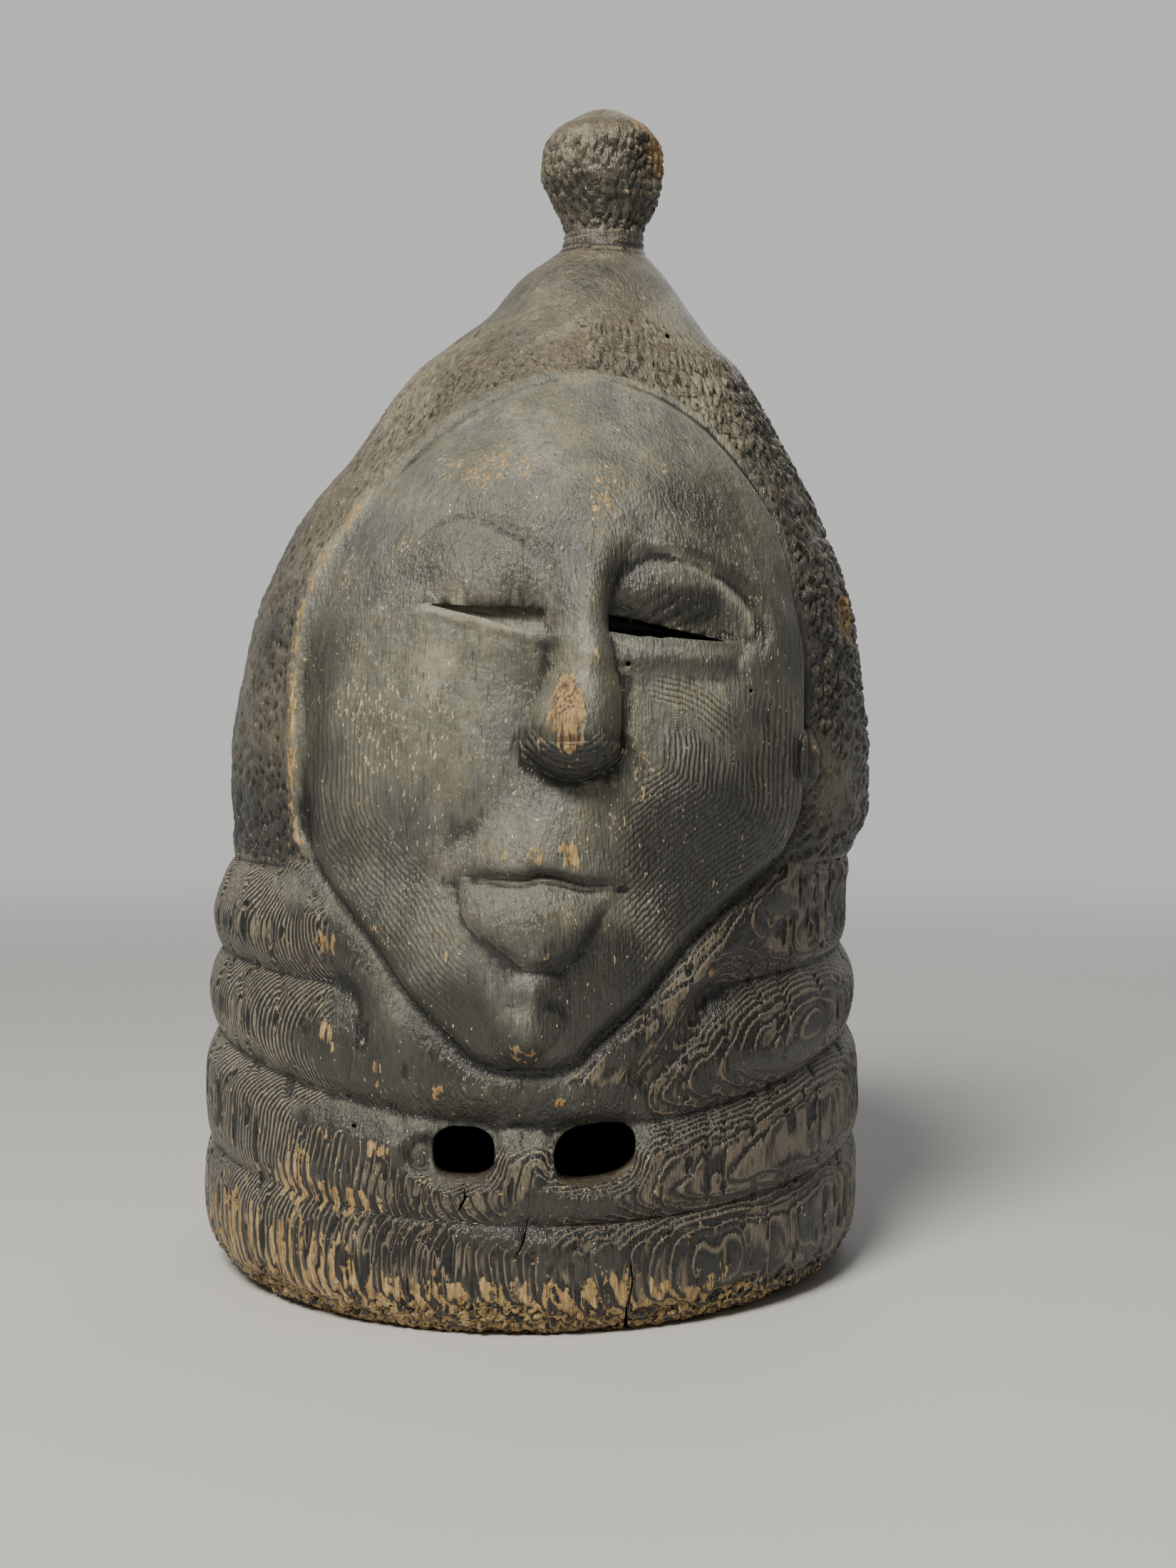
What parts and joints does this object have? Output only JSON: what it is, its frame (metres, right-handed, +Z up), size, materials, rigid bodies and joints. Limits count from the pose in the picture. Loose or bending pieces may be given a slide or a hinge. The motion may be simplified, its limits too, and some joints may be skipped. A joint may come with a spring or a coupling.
{
  "type": "double-faced wooden helmet mask",
  "caption": "Hollow carved dark wood helmet mask with a face at front and back, soft neck rings, tooled hair band, pierced sight holes and a knob on its cone top.",
  "frame": {"origin": "centre of the bounding box at the bottom, on the plane of the rim", "axes": "+Z up through the knob, the front face with the sight holes looks along -Y, +X to the right as seen from the front"},
  "size_m": [0.2344, 0.2732, 0.3985],
  "materials": {
    "dark_wood": "blackened and oiled, worn to bare brown wood on the rim and the high spots"
  },
  "bodies": {
    "root": {"helmet_mask": "dark_wood"}
  },
  "joints": []
}
